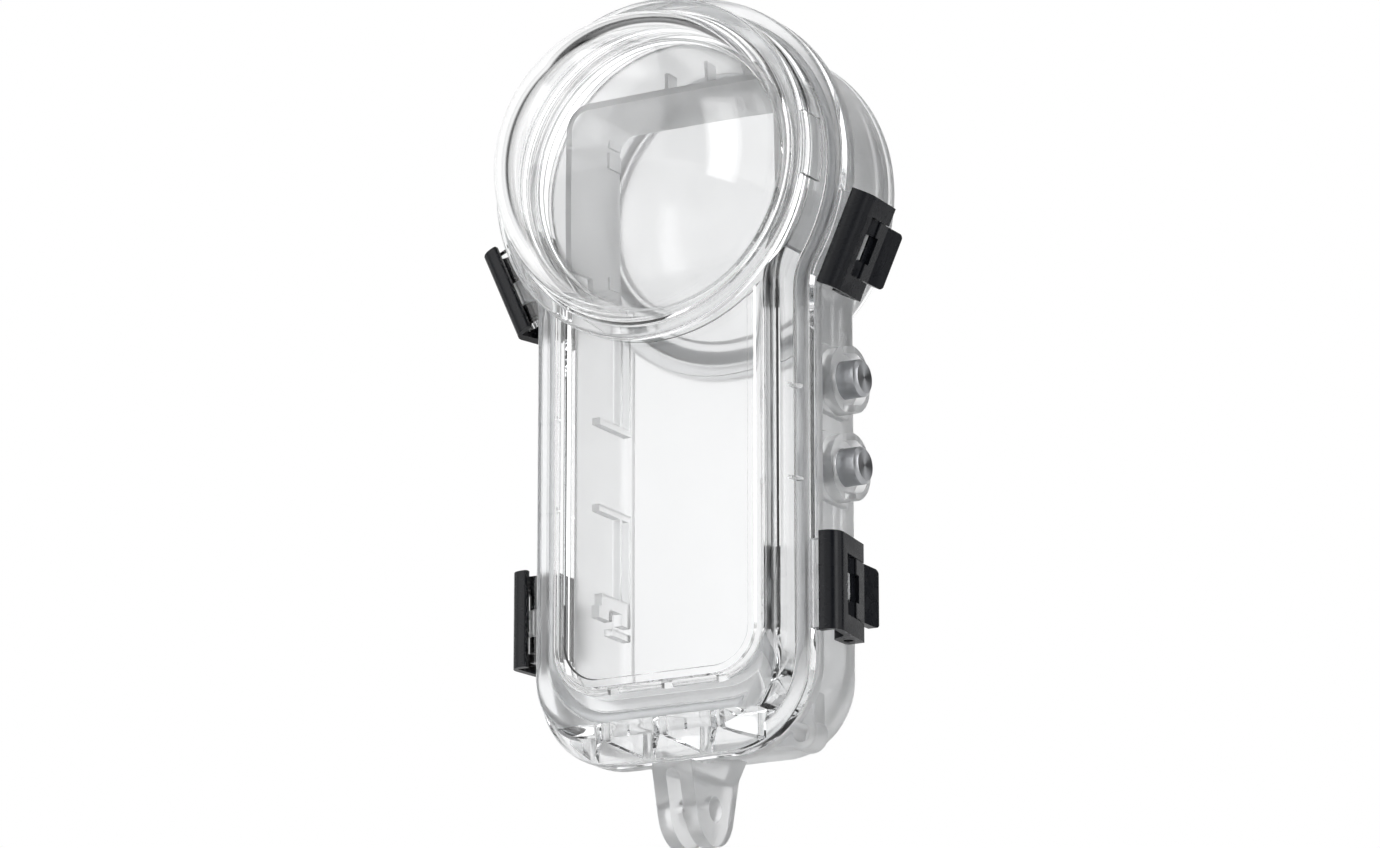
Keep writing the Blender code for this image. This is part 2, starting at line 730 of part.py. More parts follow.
def main():
    clear_scene()
    clear = make_material("clear_shell", (0.93, 0.95, 0.96), 0.05, transmission=0.9)
    frosted = make_material("frosted_shell", (0.88, 0.89, 0.9), 0.45, transmission=0.6)
    dome = make_material("dome", (0.97, 0.98, 0.99), 0.02, transmission=1.0)
    black = make_material("black_plastic", (0.02, 0.022, 0.026), 0.35)
    steel = make_material("brushed_steel", (0.55, 0.56, 0.58), 0.3, metallic=1.0)
    rubber = make_material("seal_rubber", (0.75, 0.76, 0.77), 0.6)
    latches = all_latches()
    make_front_shell(clear, latches)
    make_rear_shell(frosted, latches)
    make_main_seal(rubber)
    make_dome_set("front", -1, dome, clear, rubber)
    make_dome_set("rear", 1, dome, frosted, rubber)
    for latch in latches:
        make_latch(latch, black, steel)
    for name, z in BUTTON_Z.items():
        make_button(name, z, steel, rubber)


main()
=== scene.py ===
"""The looks of a clear dive housing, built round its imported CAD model.

Sizes are in millimetres, as in the CAD; MM makes metres. The front window faces -Y and +Z is up.
Each visible piece is a finer mesh that replaces its CAD node and rides on the same body.
"""

import json
import math

import bmesh
import bpy
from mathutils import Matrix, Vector


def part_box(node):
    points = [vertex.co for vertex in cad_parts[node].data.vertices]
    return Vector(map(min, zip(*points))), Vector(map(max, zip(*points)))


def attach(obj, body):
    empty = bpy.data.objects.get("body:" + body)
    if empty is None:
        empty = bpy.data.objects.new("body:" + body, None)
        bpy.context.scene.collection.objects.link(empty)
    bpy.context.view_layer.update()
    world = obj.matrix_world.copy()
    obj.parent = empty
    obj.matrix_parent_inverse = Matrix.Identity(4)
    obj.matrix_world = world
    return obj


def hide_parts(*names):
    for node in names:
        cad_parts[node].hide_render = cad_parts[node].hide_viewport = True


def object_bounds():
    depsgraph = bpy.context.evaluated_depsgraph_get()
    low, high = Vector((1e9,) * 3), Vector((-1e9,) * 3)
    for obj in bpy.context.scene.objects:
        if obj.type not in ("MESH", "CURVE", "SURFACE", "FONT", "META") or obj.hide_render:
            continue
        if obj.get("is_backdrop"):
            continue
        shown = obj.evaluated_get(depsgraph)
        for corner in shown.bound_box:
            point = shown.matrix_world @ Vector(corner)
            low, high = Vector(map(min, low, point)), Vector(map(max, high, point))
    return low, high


MM = 0.001

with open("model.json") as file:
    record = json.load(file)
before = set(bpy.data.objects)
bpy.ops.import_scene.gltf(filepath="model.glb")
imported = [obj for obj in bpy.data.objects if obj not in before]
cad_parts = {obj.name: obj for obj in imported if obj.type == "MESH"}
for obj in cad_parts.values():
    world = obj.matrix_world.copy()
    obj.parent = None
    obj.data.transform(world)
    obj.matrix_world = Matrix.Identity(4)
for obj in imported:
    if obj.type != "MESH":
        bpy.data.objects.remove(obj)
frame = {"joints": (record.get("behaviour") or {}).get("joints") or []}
cad_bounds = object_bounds()


def cad_box(node):
    """A CAD node's lowest and highest corners, in millimetres."""
    low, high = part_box(node)
    return low / MM, high / MM


ring_low, ring_high = cad_box("front_dome_ring")

# Body outline, as in the CAD but in finer steps
HEAD_Z = (ring_low.z + ring_high.z) / 2
HEAD_R = 35.5
BODY_HALF_W = 27.8
BODY_BOTTOM_Z = 11.9
BODY_CORNER_R = 15.0
NECK_R = 15.0
HEAD_STEPS = 90
NECK_STEPS = 24
CORNER_STEPS = 30

# Section through the shells, as in the CAD, with the edges and grooves that only the looks have
FACE_Y = 17.8
FACE_T = 3.0
WALL = 3.8
EDGE_R = 3.0
SEAM_Y = -6.0
SEAM_GAP = 0.3
FLANGE_OUT = 3.1
FLANGE_T = 3.0
FLANGE_EDGE_R = 0.6
INNER_EDGE_R = 1.2
FRAME_IN = 3.3  # the groove that frames each window, measured in from the cavity's wall
FRAME_DEPTH = 0.7
CAVITY_BOTTOM_Z = 22.0
CAVITY_CORNER_R = 11.0
SEAL_OFFSET = 3.4  # outwards from the cavity's wall
SEAL_R = 1.1
GROOVE_HALF_W = 1.3
GROOVE_DEPTH = 2.2

# Domes and collars, as in the CAD, with finer edges
DOME_R = 32.5
DOME_T = 2.8
DOME_CENTRE_Y = 16.7
DOME_BASE_Y = 18.1
PORT_R = 28.0
DRUM_R = 35.3
DRUM_DEPTH = 3.6
DRUM_PROUD = 0.05  # how far the drum stands out of the window
DRUM_EDGE_R = 0.5
PORT_EDGE_R = 0.6
COLLAR_IN_R = 32.8
COLLAR_OUT_R = 35.5
COLLAR_END_Y = 20.4
DOME_SEAL_R = 31.0
DOME_SEAL_HALF = 0.55
DOME_SEAT_HALF_W = 0.8
ROUND_STEPS = 240

# Latches: v is +Y, u points out of the flange and w runs along the latch
LATCH_HALF_W = 10.0
LEVER_PIVOT = (-3.0, 3.2)
HOOK_PIVOT = (1.1, 3.1)
PIN_R = 0.9
PIN_HOLE_R = 1.0
LUG_R = 2.2
LUG_HALF_W = 2.6
KNUCKLE_R = 2.0
LEVER_HALF_W = 6.0
LEVER_SLOT_HALF_W = 2.85
LEVER_TIP_V = 11.0
LEVER_CORNER_R = 2.0
HOOK_CUT_HALF_W = 6.2
HOOK_CUT_V = -5.0
CATCH_HALF_W = 9.0
LEVER_PIN_HALF = 5.7
HOOK_PIN_HALF = 9.6

# Push buttons. The guard rings are 1 mm lower and the caps 0.15 mm wider than in the CAD
BUTTONS = ("upper", "lower")
BOSS_R = 6.9
BOSS_INNER_X = 25.6
BOSS_X = 31.3
GUARD_IN_R = 5.4
GUARD_X = 33.6
WELL_R = 4.0
WELL_X = 29.0
CAP_R = 3.85
CAP_ROOF_X = 32.4
CAP_HOLLOW_R = 3.2
CAP_BOTTOM_X = 30.6
CAP_BEVEL = 0.75
CLIP_GROOVE_X = (25.6, 26.4)
CLIP_GROOVE_R = 1.0
CLIP_R = 2.8
PAD_R = 2.3
PAD_EDGE_R = 0.3
STEM_R = 1.5
STEM_BORE_R = 1.66
RING_WELL_R = 2.35  # the seat of the stem's O-ring
RING_WELL_X = 27.5
INNER_WELL_R = 3.3
INNER_WELL_X = 26.6
INSIDE_X = 20.0  # well inside the cavity, where a bore's cutter starts
NOTCH_X = 31.7
NOTCH_BACK = 1.2
PLATE_X = 29.2
PLATE_HALF_Y = 7.9
PLATE_HALF_Z = 7.1
PLATE_CORNER = 3.0
PLATE_EDGE_R = 1.2


# ---------------------------------------------------------------- outlines


def arc(centre, radius, start, end, steps):
    """Points on an arc, both ends included; angles in degrees."""
    points = []
    for i in range(steps + 1):
        a = math.radians(start + (end - start) * i / steps)
        points.append((centre[0] + radius * math.cos(a), centre[1] + radius * math.sin(a)))
    return points


def circle(radius, steps=ROUND_STEPS):
    return arc((0, 0), radius, 0, 360, steps)[:-1]


def rounded(corners, steps=5):
    """A closed outline from (a, b, radius) corners, each rounded to its radius."""
    outline = []
    for i, (a, b, radius) in enumerate(corners):
        here = Vector((a, b))
        if radius == 0:
            outline.append((a, b))
            continue
        back = (Vector(corners[i - 1][:2]) - here).normalized()
        ahead = (Vector(corners[(i + 1) % len(corners)][:2]) - here).normalized()
        half = back.angle(ahead) / 2
        reach = radius / math.tan(half)
        centre = here + (back + ahead).normalized() * radius / math.sin(half)
        first = here + back * reach - centre
        last = here + ahead * reach - centre
        start = math.atan2(first.y, first.x)
        turn = (math.atan2(last.y, last.x) - start + math.pi) % (2 * math.pi) - math.pi
        outline += arc(centre, radius, math.degrees(start), math.degrees(start + turn), steps)
    return outline


def keyhole(head_r, half_w, neck_r, bottom_z, corner_r):
    """The body's outline as (x, z): a head circle run into a rounded body by hollow neck arcs."""
    reach = half_w + neck_r
    neck_z = HEAD_Z - math.sqrt((head_r + neck_r) ** 2 - reach**2)
    turn = math.degrees(math.atan2(neck_z - HEAD_Z, reach))
    right = arc((0, HEAD_Z), head_r, 90, turn, HEAD_STEPS)
    right += arc((reach, neck_z), neck_r, 180 + turn, 180, NECK_STEPS)[1:]
    corner = (half_w - corner_r, bottom_z + corner_r)
    right += arc(corner, corner_r, 0, -90, CORNER_STEPS)
    return right + [(-x, z) for x, z in reversed(right[1:])]


def wall_outline(offset):
    return keyhole(
        HEAD_R + offset,
        BODY_HALF_W + offset,
        NECK_R - offset,
        BODY_BOTTOM_Z - offset,
        BODY_CORNER_R + offset,
    )


def cavity_outline(inset=0.0):
    return keyhole(
        HEAD_R - WALL - inset,
        BODY_HALF_W - WALL - inset,
        NECK_R + WALL + inset,
        CAVITY_BOTTOM_Z + inset,
        CAVITY_CORNER_R - inset,
    )


def at_y(outline, y):
    return [(x, y, z) for x, z in outline]


# ---------------------------------------------------------------- meshes


def solid(name, points, faces):
    """A mesh object from points in millimetres, with its faces turned outwards."""
    mesh = bpy.data.meshes.new(name)
    mesh.from_pydata([Vector(p) * MM for p in points], [], faces)
    work = bmesh.new()
    work.from_mesh(mesh)
    bmesh.ops.recalc_face_normals(work, faces=work.faces)
    work.to_mesh(mesh)
    work.free()
    obj = bpy.data.objects.new(name, mesh)
    bpy.context.scene.collection.objects.link(obj)
    return obj


def loft(name, rings, closed=False):
    """A solid through rings of equal length. An open row of rings gets a cap at each end."""
    count = len(rings[0])
    points = [p for ring in rings for p in ring]
    faces = []
    for i in range(len(rings) if closed else len(rings) - 1):
        a, b = i * count, (i + 1) % len(rings) * count
        for j in range(count):
            k = (j + 1) % count
            faces.append((a + j, a + k, b + k, b + j))
    if not closed:
        faces.append(tuple(range(count)))
        faces.append(tuple(range((len(rings) - 1) * count, len(rings) * count)))
    return solid(name, points, faces)


def prism(name, profile, place, low, high):
    """A flat outline drawn out from low to high; place(a, b, c) gives the point in the frame."""
    return loft(name, [[place(a, b, c) for a, b in profile] for c in (low, high)])


def turned(name, profile, place, steps=ROUND_STEPS):
    """A closed outline of (radius, height) turned round an axis. A point at radius 0 is one point."""
    points, rows = [], []
    for radius, height in profile:
        if radius == 0:
            rows.append([len(points)] * steps)
            points.append(place(0, 0, height))
            continue
        rows.append(list(range(len(points), len(points) + steps)))
        points += [place(a, b, height) for a, b in circle(radius, steps)]
    faces = []
    for i, row in enumerate(rows):
        after = rows[(i + 1) % len(rows)]
        for j in range(steps):
            k = (j + 1) % steps
            corners = dict.fromkeys((row[j], row[k], after[k], after[j]))
            if len(corners) > 2:
                faces.append(tuple(corners))
    return solid(name, points, faces)


def along_x(y, z):
    return lambda a, b, height: (height, y + a, z + b)


def along_y(x, z):
    return lambda a, b, height: (x + a, height, z + b)


def seen_from_above(a, b, c):
    return a, b, c


def seen_from_front(a, b, c):
    return a, c, b


def cylinder(name, place, radius, low, high, steps=64):
    return prism(name, circle(radius, steps), place, low, high)


def box(name, low, high, radius=0.0):
    """A block; with a radius its four upright edges are rounded."""
    corners = [(low[0], low[1]), (high[0], low[1]), (high[0], high[1]), (low[0], high[1])]
    outline = rounded([(x, y, radius) for x, y in corners])
    return prism(name, outline, seen_from_above, low[2], high[2])


def bake(obj):
    """Applies an object's modifiers."""
    bpy.context.view_layer.update()
    evaluated = obj.evaluated_get(bpy.context.evaluated_depsgraph_get())
    mesh = bpy.data.meshes.new_from_object(evaluated)
    obj.modifiers.clear()
    obj.data = mesh


def combine(target, tools, operation):
    """Joins or cuts closed pieces with Booleans, and removes the tools."""
    for tool in tools:
        boolean = target.modifiers.new(tool.name, "BOOLEAN")
        boolean.operation = operation
        boolean.object = tool
        boolean.solver = "MANIFOLD"
    bake(target)
    for tool in tools:
        bpy.data.objects.remove(tool)


def bevel(obj, width, segments=3, angle=35):
    modifier = obj.modifiers.new("bevel", "BEVEL")
    modifier.width = width * MM
    modifier.segments = segments
    modifier.limit_method = "ANGLE"
    modifier.angle_limit = math.radians(angle)
    modifier.use_clamp_overlap = True
    bake(obj)


def shade(obj, angle=30):
    """Smooth shading that keeps flat faces flat, so that they don't bend what is seen through them."""
    obj.data.shade_smooth()
    obj.data.set_sharp_from_angle(angle=math.radians(angle))
    weighted = obj.modifiers.new("weighted", "WEIGHTED_NORMAL")
    weighted.mode = "FACE_AREA"
    weighted.keep_sharp = True
    bake(obj)


def place_piece(obj, material, body, node):
    """Shades a finished piece, gives it its material and its body, and hides the CAD node that it
    replaces.
    """
    shade(obj)
    obj.data.materials.clear()
    obj.data.materials.append(material)
    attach(obj, body)
    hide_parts(node)
    return obj


# ---------------------------------------------------------------- materials


def new_material(name):
    material = bpy.data.materials.new(name)
    material.use_nodes = True
    tree = material.node_tree
    return material, tree, tree.nodes["Principled BSDF"]


def noise(tree, scale, detail=2.0, stretch=None):
    """Noise over the object's own space, in cycles per metre."""
    where = tree.nodes.new("ShaderNodeTexCoord")
    texture = tree.nodes.new("ShaderNodeTexNoise")
    texture.inputs["Scale"].default_value = scale
    texture.inputs["Detail"].default_value = detail
    source = where.outputs["Object"]
    if stretch:
        mapping = tree.nodes.new("ShaderNodeMapping")
        mapping.inputs["Scale"].default_value = stretch
        tree.links.new(source, mapping.inputs["Vector"])
        source = mapping.outputs["Vector"]
    tree.links.new(source, texture.inputs["Vector"])
    return texture.outputs["Fac"]


def vary(tree, source, low, high, target):
    """Spreads a 0 to 1 pattern between two values."""
    spread = tree.nodes.new("ShaderNodeMapRange")
    spread.inputs["From Min"].default_value = 0.3
    spread.inputs["From Max"].default_value = 0.7
    spread.inputs["To Min"].default_value = low
    spread.inputs["To Max"].default_value = high
    tree.links.new(source, spread.inputs["Value"])
    tree.links.new(spread.outputs["Result"], target)


def bump(tree, shader, source, strength, distance):
    node = tree.nodes.new("ShaderNodeBump")
    node.inputs["Strength"].default_value = strength
    node.inputs["Distance"].default_value = distance
    tree.links.new(source, node.inputs["Height"])
    tree.links.new(node.outputs["Normal"], shader.inputs["Normal"])


def absorb(tree, colour, density):
    """Tints light by the way it travels inside a clear moulding."""
    volume = tree.nodes.new("ShaderNodeVolumeAbsorption")
    volume.inputs["Color"].default_value = (*colour, 1.0)
    volume.inputs["Density"].default_value = density
    output = tree.nodes["Material Output"]
    tree.links.new(volume.outputs["Volume"], output.inputs["Volume"])


def clear_plastic(name, roughness, colour, density, bump_strength):
    material, tree, shader = new_material(name)
    shader.inputs["Base Color"].default_value = (1.0, 1.0, 1.0, 1.0)
    shader.inputs["Transmission Weight"].default_value = 1.0
    shader.inputs["IOR"].default_value = 1.49
    vary(tree, noise(tree, 60.0), roughness * 0.5, roughness * 1.5, shader.inputs["Roughness"])
    bump(tree, shader, noise(tree, 90.0, 1.0), bump_strength, 0.0002)
    absorb(tree, colour, density)
    return material


def frosted_plastic(name):
    material, tree, shader = new_material(name)
    shader.inputs["Base Color"].default_value = (0.95, 0.955, 0.96, 1.0)
    shader.inputs["Transmission Weight"].default_value = 0.95
    shader.inputs["IOR"].default_value = 1.49
    vary(tree, noise(tree, 150.0, 3.0), 0.3, 0.38, shader.inputs["Roughness"])
    bump(tree, shader, noise(tree, 6000.0, 2.0), 0.06, 0.0001)
    absorb(tree, (0.84, 0.86, 0.87), 6.0)
    return material


def black_plastic():
    material, tree, shader = new_material("black_plastic")
    colour = tree.nodes.new("ShaderNodeValToRGB")
    colour.color_ramp.elements[0].color = (0.004, 0.0045, 0.006, 1.0)
    colour.color_ramp.elements[1].color = (0.008, 0.009, 0.012, 1.0)
    tree.links.new(noise(tree, 900.0, 4.0), colour.inputs["Fac"])
    tree.links.new(colour.outputs["Color"], shader.inputs["Base Color"])
    shader.inputs["Specular IOR Level"].default_value = 0.22
    vary(tree, noise(tree, 400.0, 3.0), 0.22, 0.32, shader.inputs["Roughness"])
    bump(tree, shader, noise(tree, 9000.0, 3.0), 0.12, 0.00005)
    return material


def turned_steel():
    """Steel with the fine rings that a lathe leaves, which throw fan-shaped highlights."""
    material, tree, shader = new_material("button_steel")
    shader.inputs["Base Color"].default_value = (0.52, 0.53, 0.55, 1.0)
    shader.inputs["Metallic"].default_value = 1.0
    shader.inputs["Anisotropic"].default_value = 0.85
    tangent = tree.nodes.new("ShaderNodeTangent")
    tangent.direction_type = "RADIAL"
    tangent.axis = "X"
    tree.links.new(tangent.outputs["Tangent"], shader.inputs["Tangent"])
    where = tree.nodes.new("ShaderNodeTexCoord")
    flat = tree.nodes.new("ShaderNodeMapping")
    flat.inputs["Scale"].default_value = (0.0, 1.0, 1.0)
    length = tree.nodes.new("ShaderNodeVectorMath")
    length.operation = "LENGTH"
    rings = tree.nodes.new("ShaderNodeTexNoise")
    rings.noise_dimensions = "1D"
    rings.inputs["Scale"].default_value = 12000.0
    tree.links.new(where.outputs["Object"], flat.inputs["Vector"])
    tree.links.new(flat.outputs["Vector"], length.inputs[0])
    tree.links.new(length.outputs["Value"], rings.inputs["W"])
    vary(tree, rings.outputs["Fac"], 0.28, 0.4, shader.inputs["Roughness"])
    bump(tree, shader, rings.outputs["Fac"], 0.05, 0.00002)
    return material


def ground_steel():
    material, tree, shader = new_material("pin_steel")
    shader.inputs["Base Color"].default_value = (0.62, 0.63, 0.64, 1.0)
    shader.inputs["Metallic"].default_value = 1.0
    vary(tree, noise(tree, 3000.0, 3.0), 0.2, 0.34, shader.inputs["Roughness"])
    bump(tree, shader, noise(tree, 5000.0, 2.0), 0.05, 0.00003)
    return material


def silicone():
    material, tree, shader = new_material("seal_rubber")
    shader.inputs["Base Color"].default_value = (0.9, 0.91, 0.92, 1.0)
    shader.inputs["Transmission Weight"].default_value = 0.85
    shader.inputs["IOR"].default_value = 1.41
    vary(tree, noise(tree, 800.0, 3.0), 0.3, 0.45, shader.inputs["Roughness"])
    bump(tree, shader, noise(tree, 3000.0, 2.0), 0.1, 0.00005)
    return material


CLEAR = clear_plastic("clear_shell", 0.02, (0.80, 0.83, 0.85), 16.0, 0.0)
DOME = clear_plastic("dome", 0.01, (0.85, 0.88, 0.90), 14.0, 0.0)
FROSTED = frosted_plastic("frosted_shell")
BLACK = black_plastic()
CAP_STEEL = turned_steel()
PIN_STEEL = ground_steel()
SILICONE = silicone()


# ---------------------------------------------------------------- latch frames


class Latch:
    """Where one latch sits, from its lever's hinge in the record."""

    def __init__(self, joint):
        self.name = joint["name"].removeprefix("latch_")
        axis = Vector(joint["axis"])
        self.side = -1 if axis.z > 0 else 1
        self.up = -self.side * axis
        self.out = Vector((self.side * self.up.z, 0, -self.side * self.up.x))
        v, u = LEVER_PIVOT
        self.centre = Vector(joint["pos_m"]) / MM - self.out * u - Vector((0, v, 0))

    def place(self, v, u, w):
        return self.centre + self.out * u + Vector((0, v, 0)) + self.up * w


LATCHES = [Latch(joint) for joint in frame["joints"] if joint["name"].startswith("latch_")]


# ---------------------------------------------------------------- shells


def inner_rings(inner_y, toward):
    """From the inside of a window, across its frame groove, to its cavity's wall."""
    groove_y = inner_y - toward * FRAME_DEPTH
    rings = [
        at_y(cavity_outline(FRAME_IN), inner_y),
        at_y(cavity_outline(FRAME_IN - 0.3), groove_y),
        at_y(cavity_outline(INNER_EDGE_R + 0.4), groove_y),
    ]
    for a, b in arc((0, 0), INNER_EDGE_R, 90, 0, 6):
        y = inner_y + toward * (INNER_EDGE_R - b)
        rings.append(at_y(cavity_outline(INNER_EDGE_R - a), y))
    return rings


def flange_rings(seam_y, toward):
    """Round a flange from its seam side to the foot of the wall behind it."""
    rings = []
    back_y = seam_y + toward * FLANGE_T
    radius = FLANGE_EDGE_R
    for middle, start in ((seam_y + toward * radius, -90), (back_y - toward * radius, 0)):
        for out, along in arc((0, 0), radius, start, start + 90, 4):
            rings.append(at_y(wall_outline(FLANGE_OUT - radius + out), middle + toward * along))
    for out, along in arc((0, 0), radius, -90, -180, 4):
        rings.append(at_y(wall_outline(radius + out), back_y + toward * (radius + along)))
    return rings


def window_rings(sign):
    """Round a shell's outer edge, from its wall to the flat of its window."""
    rings = []
    for depth, rise in arc((0, 0), EDGE_R, 0, 90, 10):
        rings.append(at_y(wall_outline(depth - EDGE_R), sign * (FACE_Y - EDGE_R + rise)))
    return rings


def port_tools(side, sign):
    """What both shells have round their dome: a drum to join, a port and a seal groove to cut."""
    place = along_y(0, HEAD_Z)
    inner, face = sign * (FACE_Y - DRUM_DEPTH), sign * (FACE_Y + DRUM_PROUD)
    edge = arc((DRUM_R - DRUM_EDGE_R, FACE_Y + DRUM_PROUD - DRUM_EDGE_R), DRUM_EDGE_R, 0, 90, 4)
    drum_profile = [(0, inner), (DRUM_R, inner)] + [(r, sign * y) for r, y in edge] + [(0, face)]
    drum = turned(side + "_drum", drum_profile, place)
    flare_r = PORT_R + PORT_EDGE_R
    start, end = sign * (FACE_Y - FACE_T - 0.2), sign * (FACE_Y + 5)
    port_profile = [(0, start), (PORT_R, start)]
    for r, y in arc((flare_r, FACE_Y + 0.06 - PORT_EDGE_R), PORT_EDGE_R, 180, 90, 4):
        port_profile.append((r, sign * y))
    port_profile += [(flare_r, end), (0, end)]
    port = turned(side + "_port", port_profile, place)
    low, high = sign * (FACE_Y - 1.0), sign * (FACE_Y + 1.0)
    seat_in, seat_out = DOME_SEAL_R - DOME_SEAT_HALF_W, DOME_SEAL_R + DOME_SEAT_HALF_W
    seat = [(seat_in, low), (seat_out, low), (seat_out, high), (seat_in, high)]
    groove = turned(side + "_dome_groove", seat, place)
    return drum, [port, groove]


def sector(name, radii, angles, depths):
    """A block that follows the head's round wall; angles in degrees from +X."""
    outline = arc((0, HEAD_Z), radii[0], angles[0], angles[1], 12)
    outline += arc((0, HEAD_Z), radii[1], angles[1], angles[0], 12)
    return prism(name, outline, seen_from_front, *depths)


def make_catch(latch):
    """The rib on the front shell that a hook holds on to."""
    profile = rounded(
        [
            (-8.7, -2.6, 0),
            (-6.3, -2.6, 0),
            (-6.3, 4.7, 0.4),
            (-8.7, 4.7, 0.7),
        ]
    )
    return prism("catch_" + latch.name, profile, latch.place, -CATCH_HALF_W, CATCH_HALF_W)


SKIRT_HALF_W = 21.0
SKIRT_Y = (-16.2, -9.0)
SKIRT_OFFSET = (-0.2, 2.8)  # from the body's wall, at each end
SKIRT_LOW_Z = 5.0  # below the flange
RIB_PITCH = 13.0
RIB_SHIFT = 1.5  # X of the middle triangle's tip
RIB_WEB = 1.0
RIB_Y = (-17.0, -9.6)
RIB_TOP_Z = 16.0


def make_skirt():
    """The block under the front shell's bottom that its slanting ribs are cut from."""
    rings = [at_y(wall_outline(offset), y) for offset, y in zip(SKIRT_OFFSET, SKIRT_Y)]
    skirt = loft("skirt", rings)
    zone = box("skirt_zone", (-SKIRT_HALF_W, -20, SKIRT_LOW_Z), (SKIRT_HALF_W, 0, RIB_TOP_Z))
    combine(skirt, [zone], "INTERSECT")
    return skirt


def rib_cutters():
    """Triangles that leave the slanting ribs between them, drawn along Z."""
    half = RIB_PITCH / 2
    slope = half - RIB_WEB
    front_y, back_y = RIB_Y
    for i in range(-3, 4):
        x = RIB_SHIFT + i * half
        tip, base = (back_y, front_y) if i % 2 else (front_y, back_y)
        outline = rounded([(x - slope, base, 0.4), (x + slope, base, 0.4), (x, tip, 0.5)])
        yield prism(f"rib_cut_{i + 3}", outline, seen_from_above, SKIRT_LOW_Z, RIB_TOP_Z)


GUSSET_Z = (81.5, 62.5)
GUSSET_HALF_T = 0.35


def gussets():
    """Small webs between the front shell's wall and its flange."""
    profile = [(BODY_HALF_W - 1, -14.0), (BODY_HALF_W + 2.0, -9.0), (BODY_HALF_W - 1, -9.0)]
    for side in (1, -1):
        for z in GUSSET_Z:
            outline = [(side * x, y) for x, y in profile]
            name = f"gusset_{side}_{z}"
            yield prism(name, outline, seen_from_above, z - GUSSET_HALF_T, z + GUSSET_HALF_T)


FLOOR_STOP_X = (-9.9, 2.4, 14.7)
FLOOR_STOP_HALF_W = 1.2
GATE_Y = -11.7
GATE_R = 1.1
MARK_RADII = (34.0, 36.4)  # the block on the head's right side and the mark on the ring
MARK_ANGLES = (-10.5, 10.5)
STOP_Y = (-17.75, -13.0)


def floor_stops():
    """Small blocks on the cavity's floor behind the front window."""
    face_y = -(FACE_Y - FACE_T)
    for x in FLOOR_STOP_X:
        low = (x - FLOOR_STOP_HALF_W, face_y - 0.2, CAVITY_BOTTOM_Z - 0.4)
        high = (x + FLOOR_STOP_HALF_W, face_y + 2.2, CAVITY_BOTTOM_Z + 1.2)
        yield box(f"floor_stop_{x}", low, high)


def make_front_shell():
    """The glossy shell, with its catches, its ribs and the marks on its head."""
    face_y = -(FACE_Y - FACE_T)
    seam_y = SEAM_Y - SEAM_GAP / 2
    rings = inner_rings(face_y, 1) + [at_y(cavity_outline(), seam_y)]
    rings += flange_rings(seam_y, -1) + window_rings(-1)
    shell = loft("front_shell_clear", rings)
    drum, cutters = port_tools("front", -1)
    additions = [drum, sector("stop", MARK_RADII, MARK_ANGLES, STOP_Y)]
    additions += [make_catch(latch) for latch in LATCHES] + list(gussets())
    additions += [make_skirt(), *floor_stops()]
    place = along_x(GATE_Y, HEAD_Z)
    additions.append(cylinder("gate_mark", place, GATE_R, HEAD_R - 1, HEAD_R + 0.12))
    combine(shell, additions, "UNION")
    combine(shell, cutters + list(rib_cutters()), "DIFFERENCE")
    place_piece(shell, CLEAR, "case", "front_shell")


def make_lug(latch):
    """The ear on the rear shell that a lever turns on."""
    v, u = LEVER_PIVOT
    profile = arc((v, u), LUG_R, 0, 90, 12) + [(v - 1.8, u + LUG_R), (v - LUG_R, u + 1.8)]
    profile += [(v - LUG_R, -1.4), (-3.1, -1.4), (-3.1, -4.6), (v + LUG_R, -4.6)]
    return prism("lug_" + latch.name, profile, latch.place, -LUG_HALF_W, LUG_HALF_W)


def pin_shape(name, latch, pivot, radius, half):
    """A round shape along a latch, for a pin's hole."""
    profile = [(pivot[0] + a, pivot[1] + b) for a, b in circle(radius, 32)]
    return prism(name, profile, latch.place, -half, half)


FINGER_R = 7.5
FINGER_HALF_SPAN = 4.5
FINGER_GAP_HALF = 1.5
FINGER_HOLE_R = 2.6
FINGER_SLOT_TOP_Z = 7.2
ROOT_HALF_DEPTH = 9.7
ROOT_Z = 7.4
ROOT_TOP_Z = 13.0
ROOT_TOP_HALF_DEPTH = 13.0
ROOT_FILLET_R = 3.0
ROOT_STEP_Y = (-5.0, -3.2)  # where the root steps up behind the front shell
ROOT_STEP_Z = 10.3


